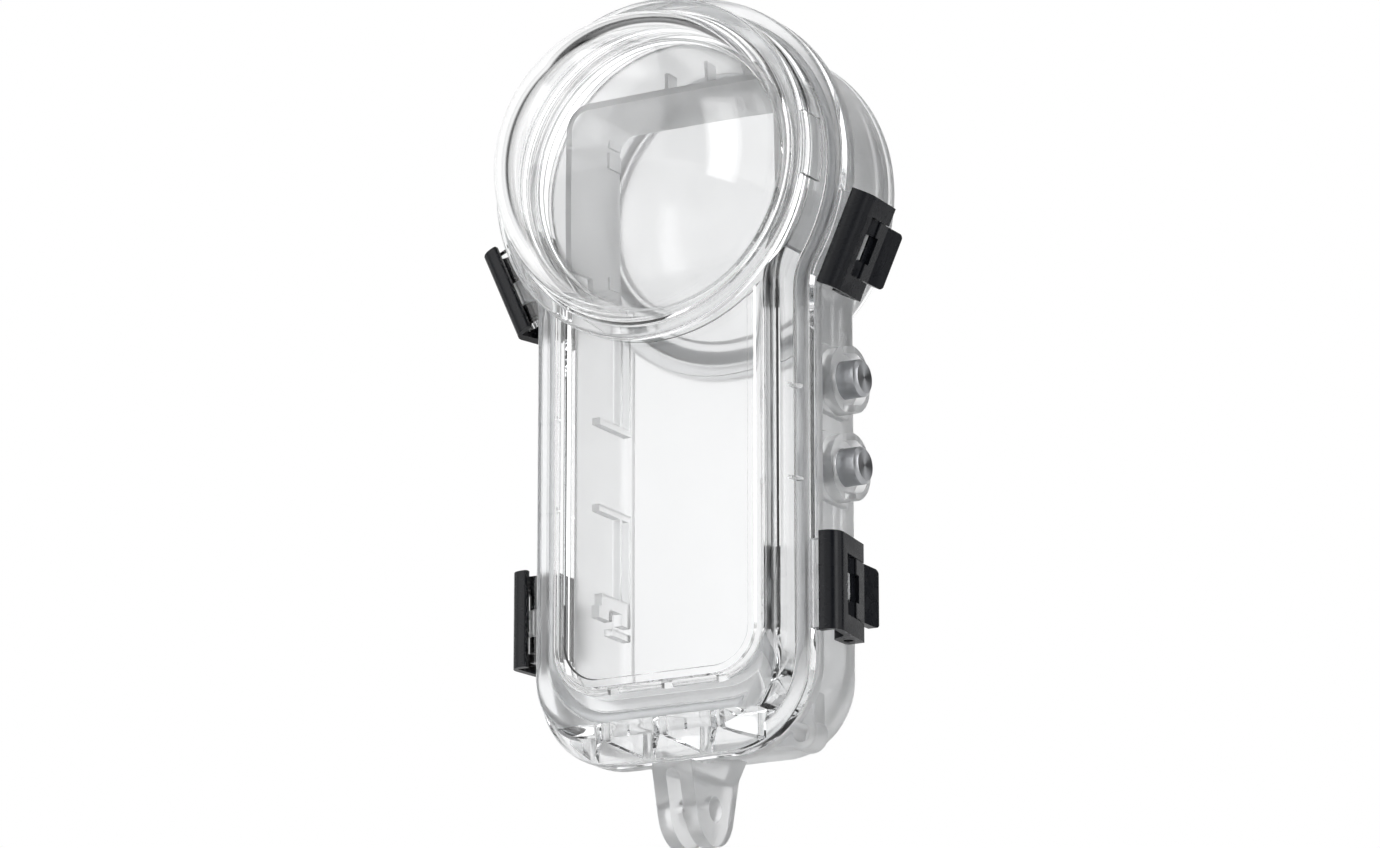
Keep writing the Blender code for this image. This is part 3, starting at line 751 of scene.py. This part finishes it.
def make_mount():
    """The two fingers with their root, their slot and their cross hole."""
    to_root = math.atan2(ROOT_Z, ROOT_HALF_DEPTH)
    tangent = to_root - math.acos(FINGER_R / math.hypot(ROOT_Z, ROOT_HALF_DEPTH))
    end = math.degrees(tangent)
    flange_low = BODY_BOTTOM_Z - FLANGE_OUT - SEAM_GAP
    corners = [(a, b, 0) for a, b in arc((0, 0), FINGER_R, -180 - end, end, 48)]
    corners += [
        (ROOT_HALF_DEPTH, ROOT_Z, ROOT_FILLET_R),
        (ROOT_TOP_HALF_DEPTH, BODY_BOTTOM_Z, 0),
        (ROOT_TOP_HALF_DEPTH, ROOT_TOP_Z, 0),
        (ROOT_STEP_Y[1], ROOT_TOP_Z, 0),
        (ROOT_STEP_Y[1], ROOT_STEP_Z, 0),
        (ROOT_STEP_Y[0], ROOT_STEP_Z, 0),
        (ROOT_STEP_Y[0], flange_low, 0),
        (-ROOT_HALF_DEPTH, flange_low, 0),
        (-ROOT_HALF_DEPTH, ROOT_Z, 0),
    ]
    profile = rounded(corners)
    place = lambda a, b, c: (c, a, b)
    mount = prism("mount_body", profile, place, -FINGER_HALF_SPAN, FINGER_HALF_SPAN)
    gap = FINGER_GAP_HALF
    slot = [(-gap, -20), (gap, -20)] + arc((0, FINGER_SLOT_TOP_Z - gap), gap, 0, 180, 12)
    tools = [prism("mount_slot", slot, seen_from_front, -20, 20)]
    tools.append(cylinder("mount_hole", along_x(0, 0), FINGER_HOLE_R, -10, 10))
    combine(mount, tools, "DIFFERENCE")
    bevel(mount, 0.45)
    return mount


def make_boss(name, y, z):
    """A button's boss on its base plate, and the cutters for its guard ring, well and stem."""
    place = along_x(y, z)
    rim = arc((BOSS_R - 0.5, GUARD_X - 0.5), 0.5, 0, 90, 4)
    profile = [(0, BOSS_INNER_X), (BOSS_R, BOSS_INNER_X)] + rim + [(0, GUARD_X)]
    boss = turned(name, profile, place)
    wide, tall, cut = PLATE_HALF_Y, PLATE_HALF_Z, PLATE_CORNER
    octagon = [(wide, tall - cut), (wide - cut, tall), (cut - wide, tall), (-wide, tall - cut)]
    octagon += [(-a, -b) for a, b in octagon]
    outline = rounded([(a, b, PLATE_EDGE_R) for a, b in octagon])
    plate = prism(name + "_plate", outline, place, BOSS_INNER_X, PLATE_X)
    bevel(plate, 0.3)
    combine(boss, [plate], "UNION")
    outside = GUARD_X + 3
    cutters = [
        cylinder(name + "_guard", place, GUARD_IN_R, BOSS_X, outside),
        cylinder(name + "_well", place, WELL_R, WELL_X, outside),
        cylinder(name + "_seat", place, RING_WELL_R, RING_WELL_X, BOSS_X),
        cylinder(name + "_bore", place, STEM_BORE_R, INSIDE_X, BOSS_X),
        cylinder(name + "_inner", place, INNER_WELL_R, INSIDE_X, INNER_WELL_X),
    ]
    outline = rounded(
        [
            (y - BOSS_R - 1, NOTCH_X, 0),
            (y - NOTCH_BACK, NOTCH_X, 1.0),
            (y - NOTCH_BACK + 1.2, GUARD_X, 0.4),
            (y - NOTCH_BACK + 1.2, outside, 0),
            (y - BOSS_R - 1, outside, 0),
        ]
    )
    low, high = z - BOSS_R - 1, z + BOSS_R + 1
    cutters.append(prism(name + "_notch", outline, lambda a, b, c: (b, a, c), low, high))
    return boss, cutters


CRADLE_X = 23.8
CRADLE_T = 1.4
CRADLE_Y = (-2.0, 9.8)
CRADLE_LOW_Z = 104.0
CRADLE_NOSE_Y = -10.3
CRADLE_NOSE_LOW_Z = 112.0
CRADLE_CORNER_R = 4.0
CEILING_Z = 147.0
CEILING_RIB_X = (-10, 0, 10)
CHEEK_PADS = ((143.4, 146.2), (138.8, 142.2), (110.8, 114.0))  # lowest and highest z
CHEEK_PAD_Y = 4.4


def make_cradle(name, low_z, low_y, high_y):
    """Two cheeks and a ceiling with rounded corners, which hold the camera's head."""
    radius = CRADLE_CORNER_R
    corner_x, corner_z = CRADLE_X - radius, CEILING_Z - radius
    outer = arc((corner_x, corner_z), radius + CRADLE_T, 0, 90, 12)
    inner = arc((corner_x, corner_z), radius, 90, 0, 12)
    right = [(CRADLE_X + CRADLE_T, low_z)] + outer
    left = [(-x, z) for x, z in reversed(right)]
    right_inner = inner + [(CRADLE_X, low_z)]
    left_inner = [(-x, z) for x, z in reversed(right_inner)]
    return prism(name, right + left + left_inner + right_inner, seen_from_front, low_y, high_y)


def cradle_details():
    """Ribs between the ceiling and the head's wall, and small pads on the cheeks."""
    top = CEILING_Z + CRADLE_T
    high_y = CRADLE_Y[1]
    for x in CEILING_RIB_X:
        reach = math.sqrt((HEAD_R - 2) ** 2 - x * x)
        low, high = (x - 0.4, high_y - 4, top - 0.2), (x + 0.4, high_y, HEAD_Z + reach)
        yield box(f"ceiling_rib_{x}", low, high)
    for side in (1, -1):
        for low_z, high_z in CHEEK_PADS:
            low_x, high_x = sorted((side * (CRADLE_X + 0.3), side * (CRADLE_X - 0.6)))
            name = f"cheek_pad_{side}_{low_z}"
            yield box(name, (low_x, CHEEK_PAD_Y, low_z), (high_x, high_y - 0.6, high_z))


def rails():
    """U-shaped pads on the inner walls, which guide the camera in."""
    wall, face = BODY_HALF_W - WALL + 0.4, BODY_HALF_W - WALL - 1.8
    for side in (1, -1):
        for name, y, z in (
            ("upper_front", (9.2, 10.1), (83.5, 104.0)),
            ("upper_rear", (12.6, 13.5), (83.5, 104.0)),
            ("upper_shelf", (0.8, 13.5), (82.6, 84.0)),
            ("lower_shelf", (0.8, 13.5), (64.4, 65.8)),
            ("lower_front", (9.2, 10.1), (47.2, 64.6)),
            ("lower_rear", (12.6, 13.5), (47.2, 64.6)),
            ("clip", (2.0, 13.5), (44.6, 47.4)),
            ("claw", (0.8, 6.0), (42.2, 44.8)),
            ("claw_rear", (10.0, 13.5), (42.2, 44.8)),
            ("foot_shelf", (6.0, 13.5), (39.4, 40.8)),
        ):
            low_x, high_x = sorted((side * wall, side * face))
            yield box(f"rail_{name}_{side}", (low_x, y[0], z[0]), (high_x, y[1], z[1]))


EYE_ANGLE = -47.0
EYE_OFFSET = 4.6
EYE_R = 3.4
EYE_WEB = 27.0
EYE_FOOT_R = 17.0
EYE_HOLE_R = 1.9
EYE_Y = (-4.0, 1.0)


def make_eye():
    """The lanyard eye on the lower right corner, with a web that runs into the flange."""
    corner_x = BODY_HALF_W - BODY_CORNER_R
    corner_z = BODY_BOTTOM_Z + BODY_CORNER_R
    reach = BODY_CORNER_R + EYE_OFFSET
    angle = math.radians(EYE_ANGLE)
    centre = (corner_x + reach * math.cos(angle), corner_z + reach * math.sin(angle))
    outline = arc(centre, EYE_R, EYE_ANGLE - 85, EYE_ANGLE + 85, 32)
    for turn in (EYE_WEB, -EYE_WEB):
        foot = math.radians(EYE_ANGLE + turn)
        x = corner_x + EYE_FOOT_R * math.cos(foot)
        outline.append((x, corner_z + EYE_FOOT_R * math.sin(foot)))
    eye = prism("lanyard_eye", outline, seen_from_front, *EYE_Y)
    bevel(eye, 0.4)
    hole = cylinder("lanyard_hole", along_y(*centre), EYE_HOLE_R, -20, 20, 48)
    return eye, hole


def make_rear_shell():
    """The frosted shell, with its mount, lanyard eye, cradle, rails, bosses and lugs."""
    face_y = FACE_Y - FACE_T
    seam_y = SEAM_Y + SEAM_GAP / 2
    groove_in = SEAL_OFFSET - GROOVE_HALF_W
    groove_out = SEAL_OFFSET + GROOVE_HALF_W
    groove_y = seam_y + GROOVE_DEPTH
    rings = inner_rings(face_y, -1)
    rings += [
        at_y(cavity_outline(), seam_y),
        at_y(cavity_outline(-groove_in), seam_y),
        at_y(cavity_outline(-groove_in), groove_y),
        at_y(cavity_outline(-groove_out), groove_y),
        at_y(cavity_outline(-groove_out), seam_y),
    ]
    rings += flange_rings(seam_y, 1) + window_rings(1)
    shell = loft("rear_shell_frosted", rings)
    drum, cutters = port_tools("rear", 1)
    eye, eye_hole = make_eye()
    cradle = make_cradle("cradle", CRADLE_LOW_Z, *CRADLE_Y)
    nose = make_cradle("cradle_nose", CRADLE_NOSE_LOW_Z, CRADLE_NOSE_Y, CRADLE_Y[0] + 1)
    additions = [drum, make_mount(), eye, cradle, nose, *cradle_details(), *rails()]
    cutters.append(eye_hole)
    for name in BUTTONS:
        low, high = cad_box("button_cap_" + name)
        middle = (low + high) / 2
        boss, boss_cutters = make_boss("boss_" + name, middle.y, middle.z)
        additions.append(boss)
        cutters += boss_cutters
    for latch in LATCHES:
        additions.append(make_lug(latch))
        cutters.append(pin_shape("lug_hole_" + latch.name, latch, LEVER_PIVOT, PIN_HOLE_R, 5))
    combine(shell, additions, "UNION")
    combine(shell, cutters, "DIFFERENCE")
    place_piece(shell, FROSTED, "case", "rear_shell")


def make_main_seal():
    """A round cord in the rear shell's groove."""
    middle_y = SEAM_Y - SEAM_GAP / 2 - SEAM_GAP / 3 + SEAL_R + SEAM_GAP
    rings = []
    for across, along in circle(SEAL_R, 16):
        rings.append(at_y(cavity_outline(-SEAL_OFFSET - across), middle_y + along))
    seal = loft("main_seal_cord", rings, closed=True)
    place_piece(seal, SILICONE, "case", "main_seal")


# ---------------------------------------------------------------- domes


def make_dome_set(side, sign, ring_material):
    """A dome, the collar round it and the O-ring under it."""
    place = along_y(0, HEAD_Z)
    outer, inner = [], []
    rise = DOME_BASE_Y - DOME_CENTRE_Y
    for radius, points in ((DOME_R, outer), (DOME_R - DOME_T, inner)):
        base = math.degrees(math.asin(rise / radius))
        for a, b in arc((0, 0), radius, base, 90, 48):
            points.append((a if a > 1e-6 else 0, sign * (DOME_CENTRE_Y + b)))
    dome = turned(side + "_dome_shell", outer + inner[::-1], place)
    place_piece(dome, DOME, "case", side + "_dome")
    collar = rounded(
        [
            (COLLAR_IN_R, DOME_BASE_Y, 0.15),
            (COLLAR_OUT_R, DOME_BASE_Y, 0.3),
            (COLLAR_OUT_R, COLLAR_END_Y, 0.8),
            (COLLAR_IN_R, COLLAR_END_Y, 0.3),
        ]
    )
    ring = turned(side + "_dome_collar", [(r, sign * y) for r, y in collar], place)
    if side == "front":
        depths = (-(COLLAR_END_Y - 0.5), -(DOME_BASE_Y + 0.1))
        combine(ring, [sector("ring_mark", MARK_RADII, MARK_ANGLES, depths)], "UNION")
    place_piece(ring, ring_material, "case", side + "_dome_ring")
    seal_y = sign * (FACE_Y - 0.25)
    profile = [(DOME_SEAL_R + a, seal_y + b) for a, b in circle(DOME_SEAL_HALF, 12)]
    seal = turned(side + "_dome_seal_cord", profile, place)
    place_piece(seal, SILICONE, "case", side + "_dome_seal")


# ---------------------------------------------------------------- latches


def make_lever(latch):
    """The lever: a knuckle with two pin holes, a window for the lug and a thin end to pull."""
    profile = arc(LEVER_PIVOT, KNUCKLE_R, 75, 270, 24)
    profile += arc(HOOK_PIVOT, KNUCKLE_R, -90, -10, 12)
    profile += rounded(
        [
            (4.2, 3.3, 0.5),
            (LEVER_TIP_V, 3.3, 0.5),
            (LEVER_TIP_V, 5.1, 0.7),
            (4.2, 5.1, 1.0),
            (-1.4, 5.9, 0.2),
        ]
    )
    half = LEVER_HALF_W
    lever = prism("lever_" + latch.name, profile, latch.place, -half, half)
    width = LEVER_SLOT_HALF_W
    back = LEVER_PIVOT[0] + LUG_R + 0.35
    slot = [(-6.0, 0), (back, 0), (back, 4.6), (1.2, 4.6), (1.2, 8), (-6.0, 8)]
    corner = LEVER_CORNER_R
    tools = [prism("lever_slot_" + latch.name, slot, latch.place, -width, width)]
    for label, point in (("pin", LEVER_PIVOT), ("hook", HOOK_PIVOT)):
        tools.append(pin_shape(f"lever_{label}_hole", latch, point, PIN_HOLE_R, 12))
    for end in (-1, 1):
        trim = arc((LEVER_TIP_V - corner, half - corner), corner, 0, 90, 8)
        past_v, past_w = LEVER_TIP_V + 2, half + 2
        trim += [(LEVER_TIP_V, past_w), (past_v, past_w), (past_v, half - corner)]
        place = lambda a, b, c, end=end: latch.place(a, c, end * b)
        tools.append(prism(f"lever_corner_{end}", trim, place, 2.0, 7.0))
    combine(lever, tools, "DIFFERENCE")
    bevel(lever, 0.22)
    name = "latch_lever_" + latch.name
    place_piece(lever, BLACK, "lever_" + latch.name, name)


def make_hook(latch):
    """The hook: a nose over the catch and two arms that run back to the hook's pin."""
    profile = rounded(
        [
            (-9.0, 2.5, 0.3),
            (-10.5, 2.5, 0.5),
            (-10.5, 7.0, 2.9),
            (4.3, 5.07, 0.3),
            (4.3, 1.0, 0.9),
            (-1.4, 1.0, 1.4),
            (-3.2, 4.5, 1.0),
            (-9.0, 5.3, 0.3),
        ]
    )
    half = LATCH_HALF_W
    hook = prism("hook_" + latch.name, profile, latch.place, -half, half)
    width = HOOK_CUT_HALF_W
    cut = [(HOOK_CUT_V, -width), (8, -width), (8, width), (HOOK_CUT_V, width)]
    place = lambda a, b, c: latch.place(a, c, b)
    tools = [prism("hook_cut_" + latch.name, cut, place, -2, 10)]
    tools.append(pin_shape("hook_hole_" + latch.name, latch, HOOK_PIVOT, PIN_HOLE_R, 14))
    combine(hook, tools, "DIFFERENCE")
    bevel(hook, 0.25)
    name = "latch_hook_" + latch.name
    place_piece(hook, BLACK, "hook_" + latch.name, name)


def make_pin(latch, kind, pivot, half, body):
    """A pin with rounded ends."""
    middle = latch.place(pivot[0], pivot[1], 0)
    across = Vector((0, 1, 0))

    def place(a, b, height):
        return middle + across * a + latch.out * b + latch.up * height

    edge = arc((PIN_R - 0.2, half - 0.2), 0.2, 0, 90, 3)
    profile = [(0, -half)] + [(r, -h) for r, h in reversed(edge)] + edge + [(0, half)]
    pin = turned(f"{kind}_steel_{latch.name}", profile, place, 32)
    place_piece(pin, PIN_STEEL, body, f"{kind}_{latch.name}")


# ---------------------------------------------------------------- buttons


def make_button(name):
    """A cap with its stem, and the clip, pad and O-ring on it."""
    low, high = cad_box("button_cap_" + name)
    middle = (low + high) / 2
    end, top = low.x, high.x
    place = along_x(middle.y, middle.z)
    groove_low, groove_high = CLIP_GROOVE_X
    profile = [(0, end), (STEM_R, end), (STEM_R, groove_low), (CLIP_GROOVE_R, groove_low)]
    profile += [(CLIP_GROOVE_R, groove_high), (STEM_R, groove_high), (STEM_R, CAP_ROOF_X)]
    profile += [(CAP_HOLLOW_R, CAP_ROOF_X), (CAP_HOLLOW_R, CAP_BOTTOM_X)]
    profile += [(CAP_R - 0.15, CAP_BOTTOM_X), (CAP_R, CAP_BOTTOM_X + 0.15)]
    soft = 0.1
    profile += arc((CAP_R - soft, top - CAP_BEVEL), soft, 0, 45, 3)
    profile += arc((CAP_R - CAP_BEVEL, top - soft), soft, 45, 90, 3)
    profile += [(CAP_R - 1.2, top - 0.02), (1.5, top - 0.1), (0, top - 0.12)]
    cap = turned("button_cap_steel_" + name, profile, place)
    place_piece(cap, CAP_STEEL, "button_" + name, "button_cap_" + name)
    clip_low, clip_high = cad_box("button_clip_" + name)
    hole_r = CLIP_GROOVE_R + 0.08
    profile = [(hole_r, clip_low.x), (CLIP_R, clip_low.x)]
    profile += [(CLIP_R, clip_high.x), (hole_r, clip_high.x)]
    clip = turned("button_clip_ring_" + name, profile, place, 64)
    place_piece(clip, PIN_STEEL, "button_" + name, "button_clip_" + name)
    pad_low, pad_high = cad_box("button_pad_" + name)
    edge = arc((PAD_R - PAD_EDGE_R, pad_low.x + PAD_EDGE_R), PAD_EDGE_R, -90, 0, 4)
    profile = [(0, pad_low.x)] + edge + [(PAD_R, pad_high.x), (0, pad_high.x)]
    pad = turned("button_pad_soft_" + name, profile, place, 64)
    place_piece(pad, SILICONE, "button_" + name, "button_pad_" + name)
    seal_low, seal_high = cad_box("button_seal_" + name)
    thick = (seal_high.x - seal_low.x) / 2
    middle_r = (STEM_BORE_R + RING_WELL_R) / 2
    ring = [(middle_r + a, seal_low.x + thick + b) for a, b in circle(thick, 12)]
    seal = turned("button_seal_cord_" + name, ring, place, 64)
    place_piece(seal, SILICONE, "case", "button_seal_" + name)
    make_spring(name, place)


SPRING_WIRE_R = 0.25
SPRING_TURNS = 3


def make_spring(name, place):
    """A coil of round wire round the stem."""
    low, high = cad_box("button_spring_" + name)
    radius = (high.z - low.z) / 2 - SPRING_WIRE_R
    steps = SPRING_TURNS * 40
    climb = high.x - low.x - 2 * SPRING_WIRE_R
    rings = []
    for i in range(steps + 1):
        turn = 2 * math.pi * SPRING_TURNS * i / steps
        middle = low.x + SPRING_WIRE_R + climb * i / steps
        ring = []
        for out, along in circle(SPRING_WIRE_R, 10):
            reach = radius + out
            ring.append(place(reach * math.cos(turn), reach * math.sin(turn), middle + along))
        rings.append(ring)
    spring = loft("button_spring_wire_" + name, rings)
    place_piece(spring, PIN_STEEL, "case", "button_spring_" + name)


# ---------------------------------------------------------------- stage


FLOOR_HALF = 6.0  # metres
FLOOR_Z = -1.0  # metres


def make_floor():
    """A plain pale floor, well below the housing."""
    mesh = bpy.data.meshes.new("floor")
    signs = ((-1, -1), (1, -1), (1, 1), (-1, 1))
    corners = [(x * FLOOR_HALF, y * FLOOR_HALF, FLOOR_Z) for x, y in signs]
    mesh.from_pydata(corners, [], [(0, 1, 2, 3)])
    floor = bpy.data.objects.new("floor", mesh)
    bpy.context.scene.collection.objects.link(floor)
    material, _, shader = new_material("floor")
    shader.inputs["Base Color"].default_value = (0.9, 0.9, 0.9, 1.0)
    shader.inputs["Roughness"].default_value = 0.9
    mesh.materials.append(material)
    floor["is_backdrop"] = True


def make_world():
    """A pale surround with narrow black bands, and plain white where nothing is in front of it."""
    world = bpy.data.worlds.new("studio")
    bpy.context.scene.world = world
    world.use_nodes = True
    tree = world.node_tree
    tree.nodes.clear()
    output = tree.nodes.new("ShaderNodeOutputWorld")
    lit = tree.nodes.new("ShaderNodeBackground")
    plain = tree.nodes.new("ShaderNodeBackground")
    mix = tree.nodes.new("ShaderNodeMixShader")
    path = tree.nodes.new("ShaderNodeLightPath")
    plain.inputs["Color"].default_value = (1.0, 1.0, 1.0, 1.0)
    where = tree.nodes.new("ShaderNodeTexCoord")
    split = tree.nodes.new("ShaderNodeSeparateXYZ")
    azimuth = tree.nodes.new("ShaderNodeMath")
    azimuth.operation = "ARCTAN2"
    turn = tree.nodes.new("ShaderNodeMapRange")
    turn.inputs["From Min"].default_value = -math.pi
    turn.inputs["From Max"].default_value = math.pi
    around = tree.nodes.new("ShaderNodeValToRGB")
    height = tree.nodes.new("ShaderNodeMapRange")
    height.inputs["From Min"].default_value = -1.0
    height.inputs["From Max"].default_value = 1.0
    upward = tree.nodes.new("ShaderNodeValToRGB")
    both = tree.nodes.new("ShaderNodeMixRGB")
    both.blend_type = "MULTIPLY"
    both.inputs["Fac"].default_value = 1.0
    links = tree.links
    links.new(where.outputs["Generated"], split.inputs["Vector"])
    links.new(split.outputs["Y"], azimuth.inputs[0])
    links.new(split.outputs["X"], azimuth.inputs[1])
    links.new(azimuth.outputs["Value"], turn.inputs["Value"])
    links.new(turn.outputs["Result"], around.inputs["Fac"])
    links.new(split.outputs["Z"], height.inputs["Value"])
    links.new(height.outputs["Result"], upward.inputs["Fac"])
    links.new(around.outputs["Color"], both.inputs["Color1"])
    links.new(upward.outputs["Color"], both.inputs["Color2"])
    links.new(both.outputs["Color"], lit.inputs["Color"])
    links.new(path.outputs["Is Camera Ray"], mix.inputs["Fac"])
    links.new(lit.outputs["Background"], mix.inputs[1])
    links.new(plain.outputs["Background"], mix.inputs[2])
    links.new(mix.outputs["Shader"], output.inputs["Surface"])
    fill_ramp(around.color_ramp, AROUND)
    fill_ramp(upward.color_ramp, UPWARD)


# Brightness of the surround: by turn (0 and 1 are -X, 0.25 is -Y, 0.5 is +X, 0.75 is +Y) and by
# height (0 is straight down, 1 is straight up)
AROUND = (
    (0.00, 1.00),
    (0.03, 1.00),
    (0.05, 0.00),
    (0.08, 0.00),
    (0.10, 1.05),
    (0.33, 1.05),
    (0.36, 0.00),
    (0.43, 0.00),
    (0.46, 1.05),
    (0.60, 1.05),
    (0.64, 0.02),
    (0.695, 0.02),
    (0.73, 1.00),
    (0.80, 0.96),
    (0.87, 0.96),
    (0.93, 1.05),
    (0.945, 0.0),
    (0.97, 0.0),
    (0.985, 1.00),
)
UPWARD = (
    (0.00, 1.05),
    (0.10, 1.00),
    (0.12, 0.00),
    (0.18, 0.00),
    (0.20, 1.05),
    (0.82, 1.05),
    (0.84, 0.00),
    (0.90, 0.00),
    (0.92, 1.15),
)


def fill_ramp(ramp, stops):
    while len(ramp.elements) > 1:
        ramp.elements.remove(ramp.elements[-1])
    ramp.interpolation = "EASE"
    for i, (position, value) in enumerate(stops):
        element = ramp.elements[0] if i == 0 else ramp.elements.new(position)
        element.position = position
        element.color = (value, value, value, 1.0)


TARGET = Vector((-0.0013, 0.0, 0.0799))  # metres, the middle of the picture


def aim(obj, azimuth, elevation, distance):
    """Puts a light or a camera on its spot, facing the target; azimuth 0 is in front, 90 right."""
    a, e = math.radians(azimuth), math.radians(elevation)
    toward = Vector((math.sin(a) * math.cos(e), -math.cos(a) * math.cos(e), math.sin(e)))
    obj.location = TARGET + toward * distance
    obj.rotation_euler = toward.to_track_quat("Z", "Y").to_euler()
    bpy.context.scene.collection.objects.link(obj)


def area_light(name, azimuth, elevation, distance, size, power):
    """A soft light that faces the middle of the housing."""
    light = bpy.data.lights.new(name, "AREA")
    light.shape = "RECTANGLE"
    light.size, light.size_y = size
    light.energy = power
    aim(bpy.data.objects.new(name, light), azimuth, elevation, distance)


CAMERA_AZIMUTH = 29.5
CAMERA_ELEVATION = -15.05
CAMERA_DISTANCE = 1.186  # metres
CAMERA_LENS = 153.0


def make_camera():
    camera = bpy.data.cameras.new("camera")
    camera.lens = CAMERA_LENS
    camera.sensor_width = 36.0
    obj = bpy.data.objects.new("camera", camera)
    aim(obj, CAMERA_AZIMUTH, CAMERA_ELEVATION, CAMERA_DISTANCE)
    bpy.context.scene.camera = obj


def set_light_paths():
    scene = bpy.context.scene
    scene.view_settings.view_transform = "Standard"
    scene.cycles.max_bounces = 24
    scene.cycles.transmission_bounces = 24
    scene.cycles.glossy_bounces = 8
    scene.cycles.transparent_max_bounces = 16
    scene.cycles.caustics_reflective = True
    scene.cycles.caustics_refractive = True


# ---------------------------------------------------------------- the housing

make_camera()
make_front_shell()
make_rear_shell()
make_main_seal()
make_dome_set("front", -1, CLEAR)
make_dome_set("rear", 1, FROSTED)
for latch in LATCHES:
    make_lever(latch)
    make_hook(latch)
    make_pin(latch, "lever_pin", LEVER_PIVOT, LEVER_PIN_HALF, "case")
    make_pin(latch, "hook_pin", HOOK_PIVOT, HOOK_PIN_HALF, "lever_" + latch.name)
for name in BUTTONS:
    make_button(name)
make_floor()
make_world()
area_light("key", azimuth=-40, elevation=40, distance=1.8, size=(2.4, 2.4), power=19.0)
area_light("side", azimuth=80, elevation=12, distance=1.6, size=(0.7, 1.6), power=9.0)
set_light_paths()

visual_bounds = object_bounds()
boxes = {"cad": cad_bounds, "visual": visual_bounds}
{k: [list(corner) for corner in v] for k, v in boxes.items()}
